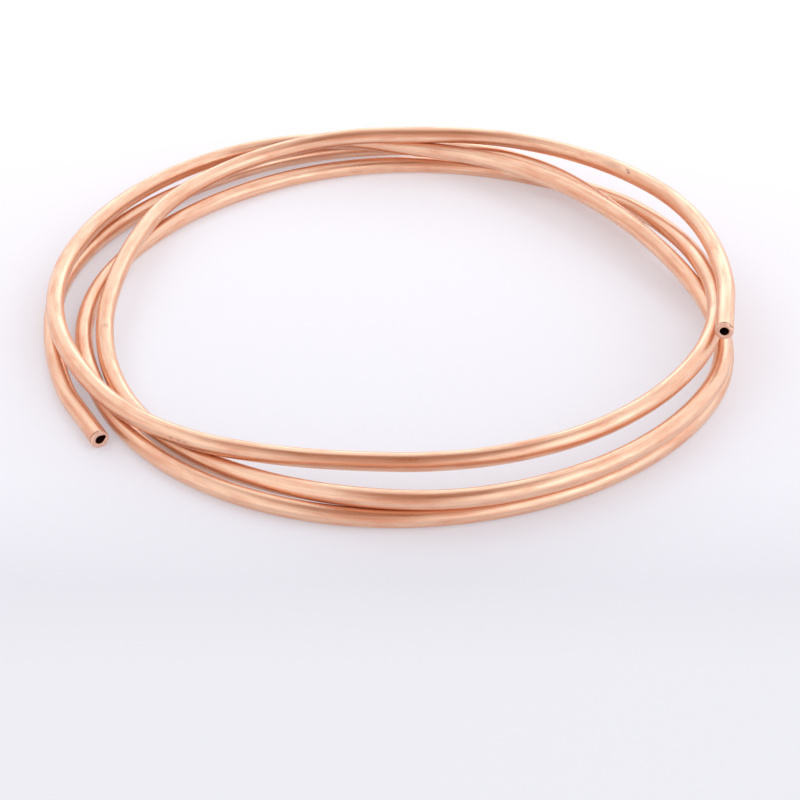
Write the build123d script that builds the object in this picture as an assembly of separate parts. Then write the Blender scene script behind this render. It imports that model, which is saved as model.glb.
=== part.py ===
from build123d import *
import math
import os

# A loose hand-wound coil of bare copper tube, about three and two thirds turns, lying on the floor.
# Millimetres, +Z up, the floor at Z = 0 and the origin under the middle of the coil.

# driving dimensions
TUBE_OD = 5.0
WALL = 0.5
COIL_RADIUS = 90.0
MOUTH_DIAMETER = 2.5
LIP_DEPTH = 0.9
CUT_BEVEL = 0.3
END_STRAIGHT = 12.0
BEND_STEP = 15.0
STRAIGHT_SHARE = 0.04

TUBE_RADIUS = TUBE_OD / 2
BORE_RADIUS = TUBE_RADIUS - WALL
MOUTH_RADIUS = MOUTH_DIAMETER / 2
RIM_TOLERANCE = 0.05

# The lie of the tube, lap by lap from the upper end to the lower one. Each entry is the angle round
# the coil in degrees, the offset from the coil radius and the height above the floor turn, the
# last two in tube diameters, so that a strand on top of another is one whole diameter higher.
UPPER_LAP = [
    (-21, 1.05, 3.15), (-10, 0.6, 3.15), (4, 0.4, 3.0), (20, 0.45, 2.7), (36, 0.1, 2.45),
    (52, -0.45, 2.3), (68, -1.15, 2.25), (86, -1.95, 2.15), (104, -1.15, 1.65), (124, -1.0, 1.05),
    (144, -1.5, 1.05), (166, -2.45, 1.05), (184, -2.15, 0.75), (204, -1.7, 0.1), (224, -1.35, 0.0),
    (244, -1.15, 0.15), (256, -0.7, 0.6), (265, -0.05, 0.97), (275, 0.4, 1.07), (300, 0.8, 1.05),
    (322, 1.15, 1.05), (338, 1.25, 1.05),
]
SECOND_LAP = [
    (346, 0.9, 1.05), (360, -0.6, 1.1), (380, -2.1, 1.4), (404, -2.85, 1.6), (426, -2.35, 1.35),
    (444, -1.85, 1.15), (458, -0.65, 1.1), (470, 0.15, 1.07), (482, 0.9, 0.8), (496, 0.95, 0.8),
    (514, 0.8, 1.1), (542, 0.8, 1.1), (560, 0.15, 1.1), (586, -0.6, 1.1), (602, -1.85, 1.1),
    (624, -2.7, 1.15), (648, -2.0, 1.35), (672, -0.8, 1.7), (694, 0.1, 2.05),
]
THIRD_LAP = [
    (710, 0.3, 2.1), (727, -0.25, 1.85), (742, -0.25, 1.05), (762, -0.15, 0.25), (778, -0.95, 0.0),
    (808, -1.9, 0.0), (844, -2.4, 0.0), (872, -1.95, 0.0), (900, -0.95, 0.0), (922, -0.7, 0.0),
    (948, 0.0, 0.0), (974, 0.3, 0.0), (1006, 0.45, 0.0), (1034, 0.9, 0.0), (1054, 1.22, 0.0),
]
LOWER_LAP = [
    (1067, 1.08, 0.0), (1080, 0.2, 0.0), (1094, -0.8, 0.15), (1108, -1.55, 0.65), (1121, -1.75, 1.0),
    (1136, -1.3, 1.1), (1152, -1.0, 1.0), (1168, 0.0, 0.1), (1186, 0.1, 0.0), (1212, -0.1, 0.0),
    (1234, 0.65, 0.0), (1254, 1.05, 0.0), (1274, 0.8, 0.0), (1299, 1.25, 0.0),
]
LAY = UPPER_LAP + SECOND_LAP + THIRD_LAP + LOWER_LAP


def slope(index, column):
    before = LAY[max(index - 1, 0)]
    after = LAY[min(index + 1, len(LAY) - 1)]
    return (after[column] - before[column]) / (after[0] - before[0])


def lay_at(angle, column):
    # smooth cubic between the two entries either side of the angle
    index = 0
    while index < len(LAY) - 2 and LAY[index + 1][0] < angle:
        index += 1
    start = LAY[index]
    finish = LAY[index + 1]
    span = finish[0] - start[0]
    t = (angle - start[0]) / span
    rise = finish[column] - start[column]
    leave = slope(index, column) * span
    arrive = slope(index + 1, column) * span
    curve = (leave + arrive - 2 * rise) * t + 3 * rise - 2 * leave - arrive
    return start[column] + t * (leave + t * curve)


def lay_point(angle, spread):
    radius = (COIL_RADIUS + TUBE_OD * lay_at(angle, 1)) * spread
    height = TUBE_OD * max(lay_at(angle, 2), 0) + TUBE_RADIUS
    turn = math.radians(angle)
    return Vector(radius * math.cos(turn), radius * math.sin(turn), height)


def corner_points():
    # corners of the polygon whose sides touch the lay, with a longer side at each cut end
    lead = math.degrees(END_STRAIGHT / COIL_RADIUS)
    first = LAY[0][0]
    last = LAY[-1][0]
    count = round((last - first - 2 * lead) / BEND_STEP)
    step = (last - first - 2 * lead) / count
    spread = 1 / math.cos(math.radians(step / 2))
    corners = [lay_point(first + lead + (i + 0.5) * step, spread) for i in range(count)]
    return [lay_point(first, 1)] + corners + [lay_point(last, 1)]


def corner_radii(points):
    # the largest bend each corner has room for, less a short straight between one bend and the next
    radii = []
    last = len(points) - 2
    for i in range(1, last + 1):
        inward = points[i] - points[i - 1]
        outward = points[i + 1] - points[i]
        before = inward.length - END_STRAIGHT if i == 1 else inward.length / 2
        after = outward.length - END_STRAIGHT if i == last else outward.length / 2
        bend = math.radians(inward.get_angle(outward))
        radii.append(min(before, after) * (1 - STRAIGHT_SHARE) / math.tan(bend / 2))
    return radii


def tube_path():
    points = corner_points()
    radii = corner_radii(points)
    print("bend radii mm", round(min(radii), 1), "to", round(max(radii), 1))
    return FilletPolyline(*points, radius=radii)


def swept(path, radius):
    start = Plane(origin=path @ 0, z_dir=path % 0)
    return sweep(start * Circle(radius), path=path)


def rolled_lip(end):
    # the ring of wall that the tube cutter's wheel rolls inward; the end plane's Z leaves the tube
    root = (BORE_RADIUS + TUBE_RADIUS) / 2
    ring = Cylinder(root, LIP_DEPTH, align=(Align.CENTER, Align.CENTER, Align.MAX))
    funnel = Cone(BORE_RADIUS, MOUTH_RADIUS, LIP_DEPTH, align=(Align.CENTER, Align.CENTER, Align.MAX))
    return end * (ring - funnel)


def bevel_cut_end(body, end):
    rim = body.edges().filter_by(GeomType.CIRCLE).filter_by(lambda e: abs(e.radius - TUBE_RADIUS) < RIM_TOLERANCE)
    rim = rim.sort_by_distance(end.origin)[0]
    return chamfer(rim, CUT_BEVEL)


def copper_tube():
    path = tube_path()
    body = swept(path, TUBE_RADIUS) - swept(path, BORE_RADIUS)
    ring = math.pi * (TUBE_RADIUS ** 2 - BORE_RADIUS ** 2)
    print("length mm", round(path.length, 1))
    print("volume", round(body.volume), "section times length", round(ring * path.length))
    ends = [Plane(origin=path @ 0, z_dir=-(path % 0)), Plane(origin=path @ 1, z_dir=path % 1)]
    for end in ends:
        body = bevel_cut_end(body + rolled_lip(end), end)
    box = body.bounding_box()
    shift = Vector(-box.center().X, -box.center().Y, -box.min.Z)
    for end in ends:
        print("end at", end.origin + shift, "leaving along", end.z_dir)
    return Pos(shift) * body


os.makedirs("parts", exist_ok=True)
tube = copper_tube()
print("solids", len(tube.solids()), "size", tube.bounding_box())
export_step(tube, "parts/copper_tube.step")
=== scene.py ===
import math

import bpy
from bpy.props import FloatProperty, FloatVectorProperty, PointerProperty
from mathutils import Matrix, Vector


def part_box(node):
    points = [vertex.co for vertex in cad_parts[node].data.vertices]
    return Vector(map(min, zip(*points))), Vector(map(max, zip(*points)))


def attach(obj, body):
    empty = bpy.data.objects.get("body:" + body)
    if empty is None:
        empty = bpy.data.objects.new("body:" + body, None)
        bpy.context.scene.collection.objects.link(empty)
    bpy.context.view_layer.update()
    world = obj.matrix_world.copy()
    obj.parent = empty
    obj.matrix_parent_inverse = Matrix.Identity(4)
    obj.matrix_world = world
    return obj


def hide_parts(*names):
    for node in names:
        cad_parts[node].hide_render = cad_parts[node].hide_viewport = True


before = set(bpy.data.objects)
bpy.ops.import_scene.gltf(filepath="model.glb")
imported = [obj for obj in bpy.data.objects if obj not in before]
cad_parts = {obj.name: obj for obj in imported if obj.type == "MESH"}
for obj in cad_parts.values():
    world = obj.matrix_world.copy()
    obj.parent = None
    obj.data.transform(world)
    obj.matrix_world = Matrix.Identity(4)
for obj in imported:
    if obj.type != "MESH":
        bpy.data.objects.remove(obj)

bl_info = {
    "name": "Copper Tube Coil",
    "version": (1, 0, 0),
    "blender": (4, 5, 0),
    "location": "3D View > Sidebar > Copper Coil",
    "description": "A loose hand-wound coil of bare copper tube on a pale studio floor",
    "category": "Object",
}

MM = 0.001
NODE = "copper_tube"
BOX_LOW, BOX_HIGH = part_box(NODE)

# The lie of the tube, lap by lap from the upper end to the lower one. Each entry is the angle round
# the coil in degrees, the offset from the coil radius and the height above the floor turn, the
# last two in tube diameters.
UPPER_LAP = [
    (-21, 1.05, 3.15), (-10, 0.6, 3.15), (4, 0.4, 3.0), (20, 0.45, 2.7), (36, 0.1, 2.45),
    (52, -0.45, 2.3), (68, -1.15, 2.25), (86, -1.95, 2.15), (104, -1.15, 1.65), (124, -1.0, 1.05),
    (144, -1.5, 1.05), (166, -2.45, 1.05), (184, -2.15, 0.75), (204, -1.7, 0.1), (224, -1.35, 0.0),
    (244, -1.15, 0.15), (256, -0.7, 0.6), (265, -0.05, 0.97), (275, 0.4, 1.07), (300, 0.8, 1.05),
    (322, 1.15, 1.05), (338, 1.25, 1.05),
]
SECOND_LAP = [
    (346, 0.9, 1.05), (360, -0.6, 1.1), (380, -2.1, 1.4), (404, -2.85, 1.6), (426, -2.35, 1.35),
    (444, -1.85, 1.15), (458, -0.65, 1.1), (470, 0.15, 1.07), (482, 0.9, 0.8), (496, 0.95, 0.8),
    (514, 0.8, 1.1), (542, 0.8, 1.1), (560, 0.15, 1.1), (586, -0.6, 1.1), (602, -1.85, 1.1),
    (624, -2.7, 1.15), (648, -2.0, 1.35), (672, -0.8, 1.7), (694, 0.1, 2.05),
]
THIRD_LAP = [
    (710, 0.3, 2.1), (727, -0.25, 1.85), (742, -0.25, 1.05), (762, -0.15, 0.25), (778, -0.95, 0.0),
    (808, -1.9, 0.0), (844, -2.4, 0.0), (872, -1.95, 0.0), (900, -0.95, 0.0), (922, -0.7, 0.0),
    (948, 0.0, 0.0), (974, 0.3, 0.0), (1006, 0.45, 0.0), (1034, 0.9, 0.0), (1054, 1.22, 0.0),
]
LOWER_LAP = [
    (1067, 1.08, 0.0), (1080, 0.2, 0.0), (1094, -0.8, 0.15), (1108, -1.55, 0.65), (1121, -1.75, 1.0),
    (1136, -1.3, 1.1), (1152, -1.0, 1.0), (1168, 0.0, 0.1), (1186, 0.1, 0.0), (1212, -0.1, 0.0),
    (1234, 0.65, 0.0), (1254, 1.05, 0.0), (1274, 0.8, 0.0), (1299, 1.25, 0.0),
]
LAY = UPPER_LAP + SECOND_LAP + THIRD_LAP + LOWER_LAP
BEND_STEP = 15.0

# the mesh of the wall: rings along each stretch of the route and sides round the tube
RINGS_PER_STRETCH = 9
HALF_SIDES = 18
SIDES = 2 * HALF_SIDES

# The cut ends. Depth behind the cut of the groove's far side, bottom and near side, and the number
# of flats that round the shoulder.
GROOVE_DEPTHS = (0.85 * MM, 0.66 * MM, 0.5 * MM)
SHOULDER_STEPS = 4
# Rings of the rolled-in mouth: distance outside the mouth, counted in edges, and depth behind the
# cut in millimetres. An edge is that share of the lip's width.
MOUTH_EDGE = 0.2
MOUTH_RINGS = [(2, 0.03), (1, 0.05), (0.3, 0.11), (0, 0.22), (1, 0.45), (3, 0.7)]
# Where the upper end's rim is notched and the lower end's mouth is torn: the way out from the
# centre, the distance along it, the push along it and the reach of the push. Then the spot's depth
# behind the cut and its radius.
TEARS = [
    ((0.7, 0.4, 0.6), 2.4 * MM, -0.55 * MM, 0.7 * MM),
    ((0.87, 0.28, 0.41), 1.3 * MM, 0.5 * MM, 1.1 * MM),
]
TEAR_DEPTH = 0.2 * MM
TEAR_SIZE = 0.35 * MM

# start of the bore's own mesh behind the cut, counted in lip depths
BORE_START = 1.6

# slots of the tube's materials: the drawn skin, the copper smeared by the cut, and the bore
SKIN, CUT, BORE = range(3)
# how far the smeared copper reaches past the rounded shoulder
SMEAR = 0.16 * MM
# share of the wall, from outside, past which a face belongs to the bore
BORE_SHARE = 0.8
# edges sharper than this stay sharp
SMOOTH_ANGLE = math.radians(40)


# ---------------------------------------------------------------- sizes and colours

class TubeSizes(bpy.types.PropertyGroup):
    outer_diameter: FloatProperty(
        name="Outer diameter", description="Outside of the tube", default=5 * MM, unit="LENGTH")
    wall: FloatProperty(
        name="Wall", description="Thickness of the copper", default=0.5 * MM, unit="LENGTH")
    coil_radius: FloatProperty(
        name="Coil radius", description="Radius that the turns wander about",
        default=90 * MM, unit="LENGTH")
    end_straight: FloatProperty(
        name="Straight end", description="Straight tube before each cut", default=12 * MM, unit="LENGTH")
    mouth: FloatProperty(
        name="Mouth", description="Opening left by the rolled-in lip", default=2.5 * MM, unit="LENGTH")
    shoulder: FloatProperty(
        name="Shoulder", description="Rounding that the cutter's wheel leaves outside the cut",
        default=0.36 * MM, unit="LENGTH")
    lip: FloatProperty(
        name="Lip depth", description="How far the rolled lip reaches into the bore",
        default=0.9 * MM, unit="LENGTH")
    groove: FloatProperty(
        name="Groove", description="Depth of the line that the cutter's wheel presses beside the cut",
        default=0.18 * MM, unit="LENGTH")


class CopperColours(bpy.types.PropertyGroup):
    bright: FloatVectorProperty(
        name="Bright copper", description="Clean drawn copper, sRGB", subtype="COLOR_GAMMA",
        size=3, min=0, max=1, default=(0.98, 0.808, 0.69))
    dull: FloatVectorProperty(
        name="Handled copper", description="Copper dulled by handling, sRGB", subtype="COLOR_GAMMA",
        size=3, min=0, max=1, default=(0.937, 0.694, 0.573))
    cut: FloatVectorProperty(
        name="Cut copper", description="Copper smeared bare by the cutter's wheel, sRGB",
        subtype="COLOR_GAMMA", size=3, min=0, max=1, default=(0.98, 0.816, 0.729))
    # the bore's colour is dark partly from oil and partly as painted shade inside the tube
    bore: FloatVectorProperty(
        name="Bore", description="Oily, unpolished inside of the tube, sRGB", subtype="COLOR_GAMMA",
        size=3, min=0, max=1, default=(0.541, 0.353, 0.282))


class StageSettings(bpy.types.PropertyGroup):
    lens: FloatProperty(
        name="Lens", description="Focal length on a 36 mm sensor", default=94.14, min=1)
    camera_distance: FloatProperty(
        name="Camera distance", description="From the camera to the floor it aims at",
        default=600 * MM, unit="LENGTH")
    camera_elevation: FloatProperty(
        name="Camera elevation", description="Angle of view above the floor",
        default=math.radians(34), subtype="ANGLE")
    camera_aim: FloatVectorProperty(
        name="Camera aim", description="Point on the floor that the camera looks at",
        default=(1.136 * MM, 8.998 * MM, 0), size=3, unit="LENGTH", subtype="TRANSLATION")


# ---------------------------------------------------------------- small helpers

def linear(hex_colour):
    """sRGB hex to linear RGBA."""
    channels = [int(hex_colour[i:i + 2], 16) / 255 for i in (1, 3, 5)]
    return tuple(c / 12.92 if c <= 0.04045 else ((c + 0.055) / 1.055) ** 2.4 for c in channels) + (1.0,)


def hex_of(colour):
    """A colour property, sRGB from 0 to 1, as hex."""
    return "#" + "".join("%02X" % round(c * 255) for c in colour)


def add_node(tree, kind, inputs=None, **settings):
    """One node with its settings. Each input takes a value, or a link from another node's socket."""
    node = tree.nodes.new(kind)
    for name, value in settings.items():
        setattr(node, name, value)
    for name, source in (inputs or {}).items():
        if hasattr(source, "is_output"):
            tree.links.new(source, node.inputs[name])
        else:
            node.inputs[name].default_value = source
    return node


def new_material(name):
    material = bpy.data.materials.new(name)
    material.use_nodes = True
    material.node_tree.nodes.clear()
    return material, material.node_tree


def deselect_all():
    if bpy.context.object and bpy.context.object.mode != "OBJECT":
        bpy.ops.object.mode_set(mode="OBJECT")
    bpy.ops.object.select_all(action="DESELECT")


def make_active(obj):
    deselect_all()
    obj.select_set(True)
    bpy.context.view_layer.objects.active = obj


def edit_vertices(obj, indices):
    """Edit mode with just these vertices selected."""
    make_active(obj)
    bpy.ops.object.mode_set(mode="EDIT")
    bpy.ops.mesh.select_mode(type="VERT")
    bpy.ops.mesh.select_all(action="DESELECT")
    bpy.ops.object.mode_set(mode="OBJECT")
    for i in indices:
        obj.data.vertices[i].select = True
    bpy.ops.object.mode_set(mode="EDIT")


# ---------------------------------------------------------------- the route of the tube

def slope(index, column):
    """Rise of that column per degree at an entry of the lay."""
    before = LAY[max(index - 1, 0)]
    after = LAY[min(index + 1, len(LAY) - 1)]
    return (after[column] - before[column]) / (after[0] - before[0])


def lay_at(angle, column):
    """Smooth cubic between the two entries either side of the angle."""
    index = 0
    while index < len(LAY) - 2 and LAY[index + 1][0] < angle:
        index += 1
    start = LAY[index]
    finish = LAY[index + 1]
    span = finish[0] - start[0]
    t = (angle - start[0]) / span
    rise = finish[column] - start[column]
    leave = slope(index, column) * span
    arrive = slope(index + 1, column) * span
    curve = (leave + arrive - 2 * rise) * t + 3 * rise - 2 * leave - arrive
    return start[column] + t * (leave + t * curve)


def lay_point(sizes, angle, spread):
    """Point of the centre line at that angle, spread out from the coil's middle."""
    radius = (sizes.coil_radius + sizes.outer_diameter * lay_at(angle, 1)) * spread
    height = sizes.outer_diameter * (max(lay_at(angle, 2), 0) + 0.5)
    turn = math.radians(angle)
    return Vector((radius * math.cos(turn), radius * math.sin(turn), height))


def route_points(sizes):
    """Corners of the polygon whose sides touch the lay, with a straight run out to each cut end."""
    lead = math.degrees(sizes.end_straight / sizes.coil_radius)
    first = LAY[0][0]
    last = LAY[-1][0]
    count = round((last - first - 2 * lead) / BEND_STEP)
    step = (last - first - 2 * lead) / count
    spread = 1 / math.cos(math.radians(step / 2))
    corners = [lay_point(sizes, first + lead + (i + 0.5) * step, spread) for i in range(count)]
    upper = lay_point(sizes, first, 1)
    lower = lay_point(sizes, last, 1)
    upper_run = upper + (corners[0] - upper).normalized() * sizes.end_straight
    lower_run = lower + (corners[-1] - lower).normalized() * sizes.end_straight
    return [upper, upper_run] + corners + [lower_run, lower]


def tube_wall(name, points, radius):
    """A round tube of that radius along a NURBS line through the route, open at both ends."""
    deselect_all()
    bpy.ops.curve.primitive_nurbs_path_add()
    wall = bpy.context.object
    wall.name = name
    curve = wall.data
    curve.splines.clear()
    line = curve.splines.new("NURBS")
    line.points.add(len(points) - 1)
    for knot, place in zip(line.points, points):
        knot.co = (*place, 1)
    line.order_u = 3
    line.use_endpoint_u = True
    line.resolution_u = RINGS_PER_STRETCH
    curve.resolution_u = RINGS_PER_STRETCH
    curve.bevel_depth = radius
    curve.bevel_resolution = HALF_SIDES - 2
    curve.use_fill_caps = False
    bpy.ops.object.convert(target="MESH")
    mark_lay(wall)
    return wall


def ring_centres(mesh):
    """Middle of each ring of vertices, in order along the tube."""
    places = [vertex.co for vertex in mesh.vertices]
    return [sum(places[i:i + SIDES], Vector()) / SIDES for i in range(0, len(places), SIDES)]


def mark_lay(wall):
    """Stores where each point is on the tube: metres along it, and its place across the section."""
    mesh = wall.data
    centres = ring_centres(mesh)
    if len(mesh.vertices) != len(centres) * SIDES:
        raise RuntimeError("the tube's rings have another number of sides")
    store = mesh.attributes.new("lay", "FLOAT_VECTOR", "POINT")
    along = 0.0
    for i, centre in enumerate(centres):
        along += (centre - centres[i - 1]).length if i else 0
        for j in range(SIDES):
            k = i * SIDES + j
            turn = 2 * math.pi * j / SIDES
            out = (mesh.vertices[k].co - centre).length
            store.data[k].vector = (along, out * math.cos(turn), out * math.sin(turn))


# ---------------------------------------------------------------- the cut ends

def ring_step(centre, inward, depth, grow, first=False):
    """Draws a new ring out of the selected one: grow is its new size against the old."""
    if not first:
        bpy.ops.mesh.extrude_region_move()
    bpy.ops.transform.resize(value=(grow, grow, grow), center_override=centre)
    bpy.ops.transform.translate(value=inward * depth)


def end_profile(sizes):
    """Radius and depth behind the cut of each ring of an end, from the outside in."""
    outside = sizes.outer_diameter / 2
    bore = outside - sizes.wall
    mouth = sizes.mouth / 2
    shoulder = sizes.shoulder
    edge = MOUTH_EDGE * (bore - mouth)
    profile = list(zip((outside, outside - sizes.groove, outside), GROOVE_DEPTHS))
    profile.append((outside, shoulder))
    for k in range(1, SHOULDER_STEPS + 1):
        turn = math.radians(90 * k / SHOULDER_STEPS)
        profile.append((outside - shoulder * (1 - math.cos(turn)), shoulder * (1 - math.sin(turn))))
    profile += [(mouth + out * edge, depth * MM) for out, depth in MOUTH_RINGS]
    profile.append((bore, sizes.lip))
    return profile


def shape_end(obj, ring, centre, inward, sizes):
    """Rolls one open end in: groove, rounded shoulder, flat cut face, small mouth and lip behind it."""
    edit_vertices(obj, ring)
    radius, depth = sizes.outer_diameter / 2, 0.0
    for k, (new_radius, new_depth) in enumerate(end_profile(sizes)):
        # the centre of the ring sits at its present depth behind the cut
        ring_step(centre + inward * depth, inward, new_depth - depth, new_radius / radius, k == 0)
        radius, depth = new_radius, new_depth
    bpy.ops.object.mode_set(mode="OBJECT")
    return [v.index for v in obj.data.vertices if v.select]


def renew_lay(obj, rings, centre, inward):
    """Gives the drawn-in rings of an end their own place in the tube's section."""
    store = obj.data.attributes["lay"].data
    start = store[rings[0]].vector[0]
    # the upper end starts the tube, and at the lower one inward is back along it
    way = 1 if start == 0 else -1
    for i in rings:
        step = obj.data.vertices[i].co - centre
        depth = step.dot(inward)
        across = Vector((0, *store[i].vector[1:])).normalized()
        store[i].vector = across * (step - inward * depth).length + Vector((start + way * depth, 0, 0))


def tear_end(obj, rings, centre, inward, tear):
    """Pushes a spot of an end over, and the copper within reach after it."""
    aside, out, push, reach = tear
    side = Vector(aside)
    side = (side - inward * side.dot(inward)).normalized()
    place = centre + side * out + inward * TEAR_DEPTH
    edit_vertices(obj, [i for i in rings if (obj.data.vertices[i].co - place).length < TEAR_SIZE])
    bpy.ops.transform.translate(
        value=side * push, use_proportional_edit=True, proportional_edit_falloff="SMOOTH",
        proportional_size=reach)
    bpy.ops.object.mode_set(mode="OBJECT")


def build_tube(sizes):
    """The skin and the bore, each swept along the route, joined by a rolled-in lip at both ends."""
    points = route_points(sizes)
    outside = sizes.outer_diameter / 2
    skin = tube_wall("CopperTube", points, outside)
    centres = ring_centres(skin.data)
    count = len(skin.data.vertices)
    ends = [
        (list(range(SIDES)), centres[0], (centres[1] - centres[0]).normalized()),
        (list(range(count - SIDES, count)), centres[-1], (centres[-2] - centres[-1]).normalized()),
    ]
    bore = tube_wall("TubeBore", points, outside - sizes.wall)
    # the bore starts well behind the lip, which then closes on it
    for ring, _, inward in ends:
        edit_vertices(bore, ring)
        bpy.ops.transform.translate(value=inward * sizes.lip * BORE_START)
    bpy.ops.mesh.select_all(action="SELECT")
    bpy.ops.mesh.flip_normals()
    bpy.ops.object.mode_set(mode="OBJECT")
    lips = []
    for (ring, centre, inward), tear in zip(ends, TEARS):
        made = len(skin.data.vertices)
        lips.append(shape_end(skin, ring, centre, inward, sizes))
        rings = ring + list(range(made, len(skin.data.vertices)))
        renew_lay(skin, rings, centre, inward)
        tear_end(skin, rings, centre, inward, tear)
    offset = len(skin.data.vertices)
    make_active(skin)
    bore.select_set(True)
    bpy.ops.object.join()
    for lip, (ring, _, _) in zip(lips, ends):
        edit_vertices(skin, lip + [offset + i for i in ring])
        bpy.ops.mesh.bridge_edge_loops()
        bpy.ops.object.mode_set(mode="OBJECT")
    return skin


def finish_faces(obj, sizes):
    """Gives each face its material by its place on the tube, and gives back the tube's length."""
    store = obj.data.attributes["lay"].data
    length = max(item.vector[0] for item in store)
    inside = sizes.outer_diameter / 2 - BORE_SHARE * sizes.wall
    for face in obj.data.polygons:
        places = [store[i].vector for i in face.vertices]
        depth = max(min(place[0], length - place[0]) for place in places)
        out = max(math.hypot(place[1], place[2]) for place in places)
        if out < inside and depth > sizes.shoulder:
            face.material_index = BORE
        elif depth < sizes.shoulder + SMEAR:
            face.material_index = CUT
        else:
            face.material_index = SKIN
    return length


def settle_in_box(obj):
    """Puts the tube in the middle of the model's box, squeezed to the box along any axis where it is
    larger.
    """
    corners = [[pick(v.co[k] for v in obj.data.vertices) for k in range(3)] for pick in (min, max)]
    low, high = Vector(corners[0]), Vector(corners[1])
    fit = [min(1, (BOX_HIGH[k] - BOX_LOW[k]) / (high[k] - low[k])) for k in range(3)]
    middle = (low + high) / 2
    target = (BOX_LOW + BOX_HIGH) / 2
    shift_back, shift_out = Matrix.Translation(-middle), Matrix.Translation(target)
    obj.data.transform(shift_out @ Matrix.Diagonal((*fit, 1)) @ shift_back)


# ---------------------------------------------------------------- copper

# Marks seen on the tube: metres along it, place across its section in mm, length and width in mm,
# and darkness. The first three, round the nick near the upper end, paint the dent's shade dark as well
# as the mark.
MARKS = [
    (0.0928, (1.85, 1.65), 1.0, 0.5, 0.6), (0.092, (2.17, 1.25), 0.9, 0.45, 0.7),
    (0.0986, (2.0, 1.4), 4.5, 1.1, 0.35), (0.3185, (1.25, 2.17), 1.3, 1.0, 0.35),
    (0.9356, (-2.17, 1.25), 0.9, 0.5, 0.4), (0.9379, (-2.17, 1.2), 0.8, 0.5, 0.4),
    (0.9396, (-2.2, 1.1), 0.9, 0.5, 0.35), (0.9335, (-2.4, -0.4), 5.0, 1.2, 0.35),
]


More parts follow.
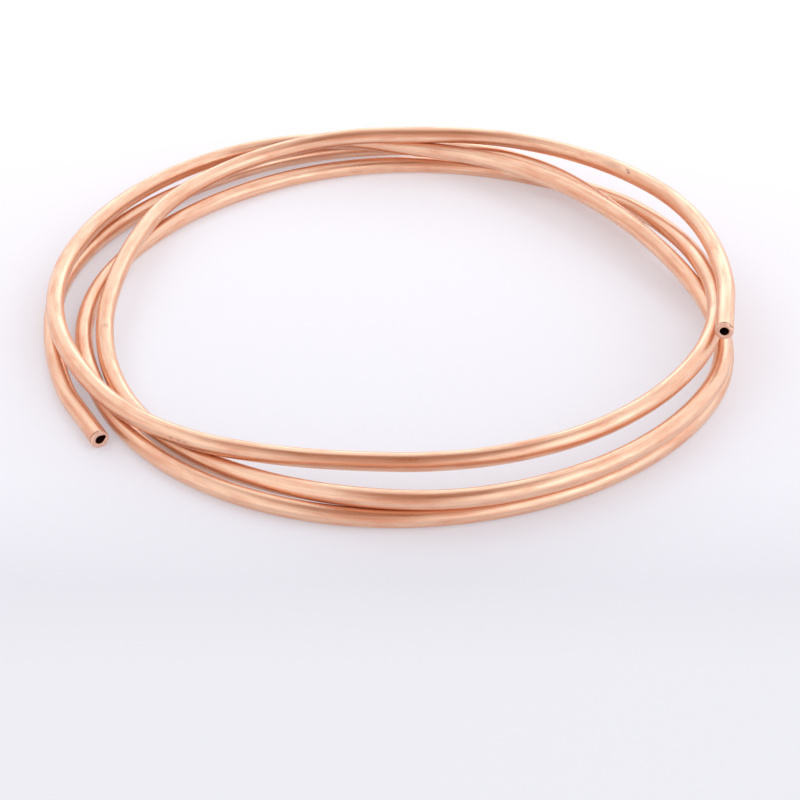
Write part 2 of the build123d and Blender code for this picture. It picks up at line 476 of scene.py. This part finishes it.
def drawn_copper(colours, length):
    """Bright drawn copper: the die leaves fine lengthwise lines, so its gloss is satin and streaky."""
    material, tree = new_material("Bright drawn copper")
    lay = add_node(tree, "ShaderNodeAttribute", attribute_name="lay").outputs["Vector"]

    def grain(length, width, **settings):
        """Noise drawn out along the tube: length and width of a typical mark in metres."""
        at = add_node(tree, "ShaderNodeMapping", {
            "Vector": lay, "Scale": (1 / length, 1 / width, 1 / width)})
        marks = add_node(tree, "ShaderNodeTexNoise", {
            "Vector": at.outputs[0], "Scale": 1.0, **settings})
        return marks.outputs["Fac"]

    def mark(along, across, length, width, darkness):
        """A rough-edged spot on the tube, full in the middle and gone at its edge."""
        middle = (along, across[0] * MM, across[1] * MM)
        shrink = (1 / (length * MM), 1 / (width * MM), 1 / (width * MM))
        offset = add_node(tree, "ShaderNodeVectorMath", {0: lay, 1: middle}, operation="SUBTRACT")
        shrunk = add_node(tree, "ShaderNodeVectorMath", {
            0: offset.outputs[0], 1: shrink}, operation="MULTIPLY")
        far = add_node(tree, "ShaderNodeVectorMath", {0: shrunk.outputs[0]}, operation="LENGTH")
        rough = add_node(tree, "ShaderNodeMath", {0: far.outputs["Value"], 1: fine}, operation="ADD")
        return add_node(tree, "ShaderNodeMapRange", {
            "Value": rough.outputs[0], "From Min": 1.6, "From Max": 0.7,
            "To Min": 0.0, "To Max": darkness}).outputs[0]

    # draw lines, some 30 mm long and drawn 0.6 mm apart, coarser than the real ones so that they show
    lines = grain(30 * MM, 0.6 * MM, Detail=3.0, Roughness=0.6)
    # shallow waves left by winding, which make the reflections wander, 25 mm long and 3 mm wide
    waves = grain(25 * MM, 3 * MM, Detail=1.0)
    # patches dulled by handling, 12 mm long and 2 mm wide
    patch = grain(12 * MM, 2 * MM, Detail=4.0, Roughness=0.65)
    # broken edges of the spots, 0.4 mm across
    fine = grain(0.4 * MM, 0.4 * MM, Detail=2.0)

    # painted shade, dark in the groove beside each cut, and the marks, the nick's with its shade painted
    # in
    along = add_node(tree, "ShaderNodeSeparateXYZ", {0: lay}).outputs["X"]
    left = add_node(tree, "ShaderNodeMath", {0: length, 1: along}, operation="SUBTRACT")
    from_cut = add_node(tree, "ShaderNodeMath", {0: along, 1: left.outputs[0]}, operation="MINIMUM")
    marks_and_shade = add_node(tree, "ShaderNodeMapRange", {
        "Value": from_cut.outputs[0], "From Min": 1.1 * MM, "From Max": 0.7 * MM,
        "To Min": 0.0, "To Max": 0.6}).outputs[0]
    for row in MARKS:
        marks_and_shade = add_node(tree, "ShaderNodeMath", {
            0: marks_and_shade, 1: mark(*row)}, operation="MAXIMUM").outputs[0]

    # colour: bright to handled, browned with the groove's painted shade and at the marks, a little
    # darker or lighter along each draw line
    dulled = add_node(tree, "ShaderNodeMapRange", {
        "Value": patch, "From Min": 0.46, "From Max": 0.72})
    tint = add_node(tree, "ShaderNodeMix", {
        0: dulled.outputs["Result"], 6: linear(hex_of(colours.bright)),
        7: linear(hex_of(colours.dull))}, data_type="RGBA")
    marked_and_shaded = add_node(tree, "ShaderNodeMix", {
        0: marks_and_shade, 6: tint.outputs[2], 7: linear("#8A6352")}, data_type="RGBA")
    streak = add_node(tree, "ShaderNodeMapRange", {
        "Value": lines, "From Min": 0.3, "From Max": 0.7, "To Min": 0.84, "To Max": 1.05})
    toned = add_node(tree, "ShaderNodeVectorMath", {
        0: marked_and_shaded.outputs[2], "Scale": streak.outputs["Result"]}, operation="SCALE")
    gloss = add_node(tree, "ShaderNodeMapRange", {
        "Value": patch, "From Min": 0.3, "From Max": 0.75, "To Min": 0.26, "To Max": 0.46})

    # relief: waves, then the groove band and the marks as pits, then the draw lines
    wavy = add_node(tree, "ShaderNodeBump", {"Height": waves, "Strength": 1.0, "Distance": 0.07 * MM})
    pitted = add_node(tree, "ShaderNodeBump", {
        "Height": marks_and_shade, "Strength": 1.0, "Distance": 0.06 * MM,
        "Normal": wavy.outputs[0]}, invert=True)
    relief = add_node(tree, "ShaderNodeBump", {
        "Height": lines, "Strength": 0.8, "Distance": 0.03 * MM, "Normal": pitted.outputs[0]})
    shader = add_node(tree, "ShaderNodeBsdfPrincipled", {
        "Base Color": toned.outputs[0], "Metallic": 1.0, "Roughness": gloss.outputs["Result"],
        "Normal": relief.outputs[0]})
    add_node(tree, "ShaderNodeOutputMaterial", {"Surface": shader.outputs[0]})
    return material


def cut_copper(colours):
    """Copper smeared by the cutter's wheel: bare, matt and pinker than the skin, with fine rings."""
    material, tree = new_material("Wheel-cut copper")
    lay = add_node(tree, "ShaderNodeAttribute", attribute_name="lay").outputs["Vector"]
    section = add_node(tree, "ShaderNodeVectorMath", {0: lay, 1: (0, 1, 1)}, operation="MULTIPLY")
    out = add_node(tree, "ShaderNodeVectorMath", {0: section.outputs[0]}, operation="LENGTH")
    # turning marks 0.15 mm apart, coarser than the real ones so that they show
    turning = add_node(tree, "ShaderNodeMath", {
        0: out.outputs["Value"], 1: 1 / (0.15 * MM)}, operation="MULTIPLY")
    rings = add_node(tree, "ShaderNodeTexNoise", {
        "W": turning.outputs[0], "Scale": 1.0}, noise_dimensions="1D")
    # grains torn by the wheel, 0.3 mm across
    torn = add_node(tree, "ShaderNodeTexNoise", {
        "Vector": lay, "Scale": 1 / (0.3 * MM), "Detail": 3.0})
    tone = add_node(tree, "ShaderNodeMapRange", {
        "Value": torn.outputs["Fac"], "From Min": 0.35, "From Max": 0.65, "To Min": 0.8, "To Max": 1.05})
    colour = add_node(tree, "ShaderNodeVectorMath", {
        0: linear(hex_of(colours.cut))[:3], "Scale": tone.outputs["Result"]}, operation="SCALE")
    relief = add_node(tree, "ShaderNodeBump", {
        "Height": rings.outputs["Fac"], "Strength": 0.8, "Distance": 0.02 * MM})
    shader = add_node(tree, "ShaderNodeBsdfPrincipled", {
        "Base Color": colour.outputs[0], "Metallic": 1.0, "Roughness": 0.45,
        "Normal": relief.outputs[0]})
    add_node(tree, "ShaderNodeOutputMaterial", {"Surface": shader.outputs[0]})
    return material


def bore_copper(colours):
    """Unpolished copper browned by drawing oil and painted darker as the shade inside the bore, so the
    inside reads almost black at the mouth.
    """
    material, tree = new_material("Copper bore, oil and painted shade")
    lay = add_node(tree, "ShaderNodeAttribute", attribute_name="lay").outputs["Vector"]
    # runs of oil, 6 mm long and 0.8 mm wide
    at = add_node(tree, "ShaderNodeMapping", {
        "Vector": lay, "Scale": (1 / (6 * MM), 1 / (0.8 * MM), 1 / (0.8 * MM))})
    oil = add_node(tree, "ShaderNodeTexNoise", {"Vector": at.outputs[0], "Scale": 1.0, "Detail": 2.0})
    tone = add_node(tree, "ShaderNodeMapRange", {
        "Value": oil.outputs["Fac"], "To Min": 0.5, "To Max": 1.2})
    colour = add_node(tree, "ShaderNodeVectorMath", {
        0: linear(hex_of(colours.bore))[:3], "Scale": tone.outputs["Result"]}, operation="SCALE")
    shader = add_node(tree, "ShaderNodeBsdfPrincipled", {
        "Base Color": colour.outputs[0], "Metallic": 0.7, "Roughness": 0.55})
    add_node(tree, "ShaderNodeOutputMaterial", {"Surface": shader.outputs[0]})
    return material


class COPPERCOIL_OT_tube(bpy.types.Operator):
    """Lays the copper tube in its loose coil, with both cut ends"""
    bl_idname = "copper_coil.tube"
    bl_label = "Copper Tube"

    def execute(self, context):
        sizes = context.scene.copper_tube_sizes
        tube = build_tube(sizes)
        settle_in_box(tube)
        colours = context.scene.copper_tube_colours
        tube.data.materials.clear()
        length = finish_faces(tube, sizes)
        # in the order of SKIN, CUT and BORE
        for material in (drawn_copper(colours, length), cut_copper(colours), bore_copper(colours)):
            tube.data.materials.append(material)
        make_active(tube)
        bpy.ops.object.shade_smooth_by_angle(angle=SMOOTH_ANGLE)
        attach(tube, "root")
        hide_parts(NODE)
        return {"FINISHED"}


# ---------------------------------------------------------------- the stage

FLOOR_SIZE = 6
# how far before and behind the middle the paper's tone changes, and its tones from front to back, which
# paint light and shade: greyer towards the camera, darkest just in front of the coil
FLOOR_REACH = 140 * MM
FLOOR_SHADE_TONES = [(0.0, "#C6C6C8"), (0.1, "#C1C0C3"), (0.24, "#CFCED1"), (0.87, "#DEDCDD")]
# glow that only the camera and reflections see, which whitens the paper as in the photograph
FLOOR_GLOW = 0.32

TENT_COLOUR, TENT_LEVEL = "#F9FBFF", 1.19
# azimuth and elevation of the door's middle
DOOR = (170, 10)
# The room outside, seen through the tent's gaps. Its level falls from one height to the other, each
# the sine of an elevation.
ROOM_COLOUR = "#FFB48C"
ROOM_LOW, ROOM_LOW_LEVEL = 0.05, 0.88
ROOM_HIGH, ROOM_HIGH_LEVEL = 0.6, 0.44

# the tent's opening over the front of the coil: its middle, its width and depth, and its level
OPENING_MIDDLE = (0, -150 * MM, 280 * MM)
OPENING_SIZE = (270 * MM, 300 * MM, 1)
OPENING_LEVEL = 0.38

LAMP_COLOUR = "#EFF4FF"
# each soft lamp: name, azimuth, elevation, distance, width, height and level against white
LAMPS = [
    ("BackSoftbox", 80, 22, 1.2, 1.3, 0.4, 1.1),
    ("RightSoftbox", -36, 26, 1.1, 0.7, 0.6, 0.7),
]

SENSOR_WIDTH = 36
# how far the frame is moved right and up from the lens's axis, in pixels of the photograph's 800
PICTURE = 800
SHIFT_X, SHIFT_Y = 11, -100


def heading(azimuth, elevation):
    """Unit vector towards that azimuth, from the right round over the back, and that elevation."""
    turn = math.radians(azimuth)
    rise = math.radians(elevation)
    return Vector((math.cos(rise) * math.cos(turn), math.cos(rise) * math.sin(turn), math.sin(rise)))


def studio_floor():
    """White seamless paper, matt, with painted shade: a little greyer from the coil towards the camera.
    """
    deselect_all()
    bpy.ops.mesh.primitive_plane_add(size=FLOOR_SIZE, location=(0, 0, BOX_LOW.z))
    floor = bpy.context.object
    floor.name = "StudioFloor"
    material, tree = new_material("Matt seamless paper")
    place = add_node(tree, "ShaderNodeSeparateXYZ", {
        0: add_node(tree, "ShaderNodeTexCoord").outputs["Object"]})
    back = add_node(tree, "ShaderNodeMapRange", {
        "Value": place.outputs["Y"], "From Min": -FLOOR_REACH, "From Max": FLOOR_REACH})
    # painted light and shade along the floor, from front to back
    tone = add_node(tree, "ShaderNodeValToRGB", {0: back.outputs["Result"]})
    stops = tone.color_ramp.elements
    # a new ramp has two stops, which take the first and the last tone
    for stop, (position, colour) in zip((stops[0], stops[1]), (FLOOR_SHADE_TONES[0], FLOOR_SHADE_TONES[-1])):
        stop.position, stop.color = position, linear(colour)
    for position, colour in FLOOR_SHADE_TONES[1:-1]:
        stops.new(position).color = linear(colour)

    path = add_node(tree, "ShaderNodeLightPath")
    shown = path.outputs["Is Camera Ray"]
    for kind in ("Is Glossy Ray", "Is Transmission Ray"):
        shown = add_node(tree, "ShaderNodeMath", {
            0: shown, 1: path.outputs[kind]}, operation="MAXIMUM").outputs[0]
    glow = add_node(tree, "ShaderNodeMath", {0: shown, 1: FLOOR_GLOW}, operation="MULTIPLY")
    paper = add_node(tree, "ShaderNodeBsdfDiffuse", {"Color": tone.outputs["Color"]})
    lift = add_node(tree, "ShaderNodeEmission", {
        "Color": linear("#EDF3FF"), "Strength": glow.outputs[0]})
    both = add_node(tree, "ShaderNodeAddShader", {0: paper.outputs[0], 1: lift.outputs[0]})
    add_node(tree, "ShaderNodeOutputMaterial", {"Surface": both.outputs[0]})
    floor.data.materials.append(material)


def studio_world():
    """A white tent with two dim gaps: the slot that the camera looks in by, and a door at the left."""
    world = bpy.data.worlds.new("White tent")
    bpy.context.scene.world = world
    world.use_nodes = True
    tree = world.node_tree
    tree.nodes.clear()
    seen = add_node(tree, "ShaderNodeTexCoord").outputs["Generated"]
    parts = add_node(tree, "ShaderNodeSeparateXYZ", {"Vector": seen})

    # the slot lies a little left of the middle and reaches from the front to just past overhead
    aside = add_node(tree, "ShaderNodeMath", {0: parts.outputs["X"], 1: 0.1}, operation="ADD")
    off = add_node(tree, "ShaderNodeMath", {0: aside.outputs[0]}, operation="ABSOLUTE")
    side = add_node(tree, "ShaderNodeMapRange", {
        "Value": off.outputs[0], "From Min": 0.12, "From Max": 0.34})
    behind = add_node(tree, "ShaderNodeMapRange", {
        "Value": parts.outputs["Y"], "From Min": 0.05, "From Max": 0.5})
    slot = add_node(tree, "ShaderNodeMath", {
        0: side.outputs[0], 1: behind.outputs[0]}, operation="MAXIMUM")

    # the door, low at the left, half drawn
    to_door = add_node(tree, "ShaderNodeVectorMath", {
        0: seen, 1: heading(*DOOR)}, operation="DOT_PRODUCT")
    door = add_node(tree, "ShaderNodeMapRange", {
        "Value": to_door.outputs["Value"], "From Min": 0.93, "From Max": 0.86,
        "To Min": 0.45, "To Max": 1.0})
    cloth = add_node(tree, "ShaderNodeMath", {
        0: slot.outputs[0], 1: door.outputs[0]}, operation="MINIMUM")

    # the room's level, from low down to overhead
    overhead = add_node(tree, "ShaderNodeMapRange", {
        "Value": parts.outputs["Z"], "From Min": ROOM_LOW, "From Max": ROOM_HIGH,
        "To Min": ROOM_LOW_LEVEL, "To Max": ROOM_HIGH_LEVEL})
    room = add_node(tree, "ShaderNodeBackground", {
        "Color": linear(ROOM_COLOUR), "Strength": overhead.outputs["Result"]})
    tent = add_node(tree, "ShaderNodeBackground", {
        "Color": linear(TENT_COLOUR), "Strength": TENT_LEVEL})
    both = add_node(tree, "ShaderNodeMixShader", {
        0: cloth.outputs[0], 1: room.outputs[0], 2: tent.outputs[0]})
    add_node(tree, "ShaderNodeOutputWorld", {"Surface": both.outputs[0]})


def tent_opening():
    """The opening over the front of the coil, a dim card that only the copper's reflections show."""
    deselect_all()
    bpy.ops.mesh.primitive_plane_add(size=1, location=OPENING_MIDDLE)
    card = bpy.context.object
    card.name = "TentOpening"
    bpy.ops.transform.resize(value=OPENING_SIZE)
    bpy.ops.object.transform_apply(location=False, rotation=False, scale=True)
    material, tree = new_material("Dim room above")
    shade = add_node(tree, "ShaderNodeEmission", {
        "Color": linear(ROOM_COLOUR), "Strength": OPENING_LEVEL})
    add_node(tree, "ShaderNodeOutputMaterial", {"Surface": shade.outputs[0]})
    card.data.materials.append(material)
    card.visible_camera = False
    card.visible_diffuse = False
    card.visible_shadow = False


def softbox(name, place, width, height, level):
    """A soft lamp turned to the coil, whose face is level times as bright as white."""
    deselect_all()
    bpy.ops.object.light_add(type="AREA", location=place)
    lamp = bpy.context.object
    lamp.name = name
    lamp.data.shape = "RECTANGLE"
    lamp.data.size = width
    lamp.data.size_y = height
    lamp.data.color = linear(LAMP_COLOUR)[:3]
    lamp.data.energy = level * math.pi * width * height
    lamp.rotation_euler = (-place).to_track_quat("-Z", "Y").to_euler()


def photo_camera(stage):
    """The photograph's view: its frame is cut from a larger one, so the lens is shifted."""
    aim = Vector(stage.camera_aim)
    back = Vector((0, -math.cos(stage.camera_elevation), math.sin(stage.camera_elevation)))
    bpy.ops.object.camera_add(location=aim + back * stage.camera_distance)
    camera = bpy.context.object
    camera.rotation_euler = (-back).to_track_quat("-Z", "Y").to_euler()
    camera.data.lens = stage.lens
    camera.data.sensor_width = SENSOR_WIDTH
    camera.data.shift_x = SHIFT_X / PICTURE
    camera.data.shift_y = SHIFT_Y / PICTURE
    camera.data.clip_start = 10 * MM
    camera.data.dof.use_dof = False
    bpy.context.scene.camera = camera


class COPPERCOIL_OT_stage(bpy.types.Operator):
    """Sets up the pale floor, soft studio light and the photograph's camera"""
    bl_idname = "copper_coil.stage"
    bl_label = "Studio Stage"

    def execute(self, context):
        studio_floor()
        studio_world()
        tent_opening()
        for name, azimuth, elevation, distance, width, height, level in LAMPS:
            softbox(name, heading(azimuth, elevation) * distance, width, height, level)
        photo_camera(context.scene.copper_tube_stage)
        context.scene.view_settings.view_transform = "Standard"
        return {"FINISHED"}


# ---------------------------------------------------------------- the add-on

class COPPERCOIL_PT_panel(bpy.types.Panel):
    bl_label = "Copper Tube Coil"
    bl_idname = "COPPERCOIL_PT_panel"
    bl_space_type = "VIEW_3D"
    bl_region_type = "UI"
    bl_category = "Copper Coil"

    def draw(self, context):
        scene = context.scene
        column = self.layout.column()
        for settings in (scene.copper_tube_sizes, scene.copper_tube_colours, scene.copper_tube_stage):
            for name in settings.__annotations__:
                column.prop(settings, name)
        column.operator(COPPERCOIL_OT_tube.bl_idname)
        column.operator(COPPERCOIL_OT_stage.bl_idname)


CLASSES = (
    TubeSizes, CopperColours, StageSettings,
    COPPERCOIL_OT_tube, COPPERCOIL_OT_stage, COPPERCOIL_PT_panel)


def register():
    for cls in CLASSES:
        bpy.utils.register_class(cls)
    bpy.types.Scene.copper_tube_sizes = PointerProperty(type=TubeSizes)
    bpy.types.Scene.copper_tube_colours = PointerProperty(type=CopperColours)
    bpy.types.Scene.copper_tube_stage = PointerProperty(type=StageSettings)


def unregister():
    del bpy.types.Scene.copper_tube_stage
    del bpy.types.Scene.copper_tube_colours
    del bpy.types.Scene.copper_tube_sizes
    for cls in reversed(CLASSES):
        bpy.utils.unregister_class(cls)


def main():
    register()
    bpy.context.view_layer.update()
    bpy.ops.copper_coil.tube()
    bpy.ops.copper_coil.stage()


if __name__ == "__main__":
    main()
